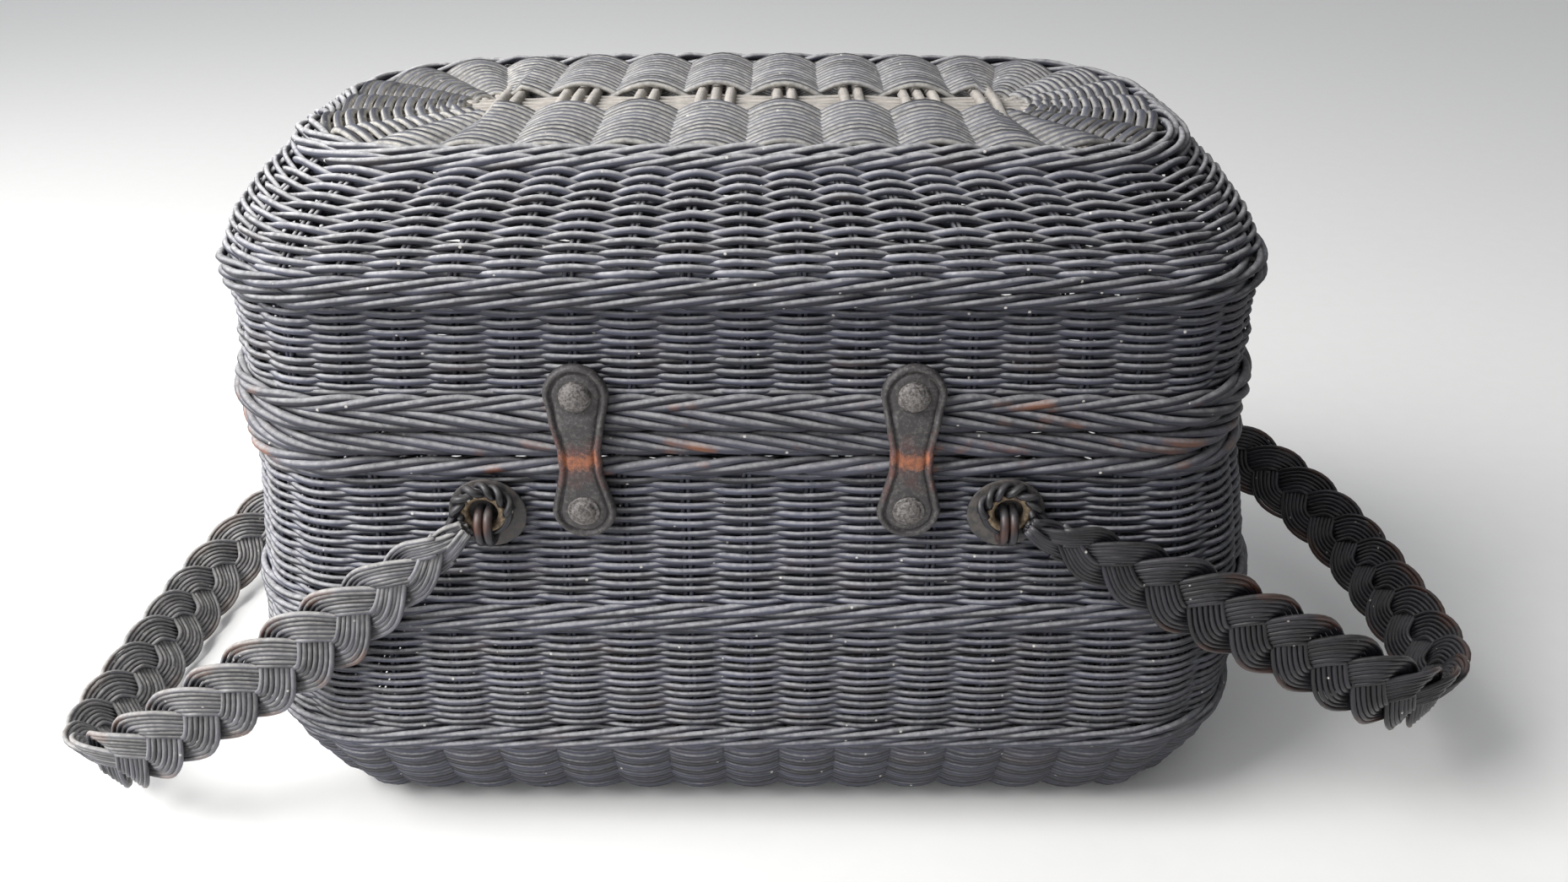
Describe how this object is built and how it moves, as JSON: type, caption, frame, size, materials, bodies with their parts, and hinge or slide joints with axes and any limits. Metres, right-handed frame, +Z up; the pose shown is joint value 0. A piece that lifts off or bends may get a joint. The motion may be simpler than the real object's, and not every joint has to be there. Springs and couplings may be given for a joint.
{
  "type": "lidded wicker hand hamper",
  "caption": "Rounded oblong wicker hamper with a domed hinged lid, leather closing straps and braided swinging handles at both ends.",
  "frame": {"origin": "on the floor under the middle of the basket", "axes": "+X along the basket's length to the viewer's right, -Y the front with the closing straps, +Z up"},
  "size_m": [0.6765, 0.257, 0.31],
  "materials": {
    "woven_dark": "dark stained willow and cane weave, dusty",
    "bare_sticks": "dry pale willow sticks",
    "strap_leather": "worn dark leather with creased edges",
    "rivet_metal": "dull oxidised domed caps",
    "disc_metal": "dull brown-grey discs",
    "ring_metal": "dull aged brass",
    "handle_cane": "dark glossy braided cane"
  },
  "bodies": {
    "basket": {"body_wall": "woven_dark", "base_panel": "woven_dark", "upsett_band": "woven_dark", "mid_band": "woven_dark", "body_rim_wale": "woven_dark", "body_border": "woven_dark", "foot_cord": "woven_dark", "base_spine": "bare_sticks", "base_cross_sticks": "bare_sticks", "hinge_leaves_body": "strap_leather", "hinge_rivets_body": "rivet_metal", "snap_studs": "rivet_metal", "handle_staples": "handle_cane", "handle_discs": "disc_metal", "staple_backs": "disc_metal"},
    "lid": {"lid_border": "woven_dark", "lid_lower_wale": "woven_dark", "lid_side": "woven_dark", "lid_band": "woven_dark", "lid_slope": "woven_dark", "lid_rim": "woven_dark", "lid_panel": "woven_dark", "lid_spine": "bare_sticks", "lid_cross_sticks": "bare_sticks", "strap_tabs": "strap_leather", "hinge_leaves_lid": "strap_leather", "strap_rivets": "rivet_metal", "hinge_rivets_lid": "rivet_metal"},
    "right_flap": {"right_strap_flap": "strap_leather", "right_snap_cap": "rivet_metal"},
    "left_flap": {"left_strap_flap": "strap_leather", "left_snap_cap": "rivet_metal"},
    "right_handle": {"right_handle_braid": "handle_cane", "right_handle_rings": "ring_metal", "right_handle_wraps": "handle_cane"},
    "left_handle": {"left_handle_braid": "handle_cane", "left_handle_rings": "ring_metal", "left_handle_wraps": "handle_cane"}
  },
  "joints": [
    {"name": "lid_hinge", "type": "hinge", "parent": "basket", "child": "lid", "pos_m": [0, 0.1166, 0.2079], "axis": [-1, 0, 0], "range_deg": [0, 100]},
    {"name": "right_flap_fold", "type": "hinge", "parent": "lid", "child": "right_flap", "pos_m": [0.064, -0.1166, 0.212], "axis": [-1, 0, 0], "range_deg": [0, 95]},
    {"name": "left_flap_fold", "type": "hinge", "parent": "lid", "child": "left_flap", "pos_m": [-0.064, -0.1166, 0.212], "axis": [-1, 0, 0], "range_deg": [0, 95]},
    {"name": "right_handle_pivot", "type": "hinge", "parent": "basket", "child": "right_handle", "pos_m": [0.103, 0, 0.177], "axis": [0, 1, 0], "range_deg": [-137, 0]},
    {"name": "left_handle_pivot", "type": "hinge", "parent": "basket", "child": "left_handle", "pos_m": [-0.103, 0, 0.177], "axis": [0, -1, 0], "range_deg": [-145, 0]}
  ]
}
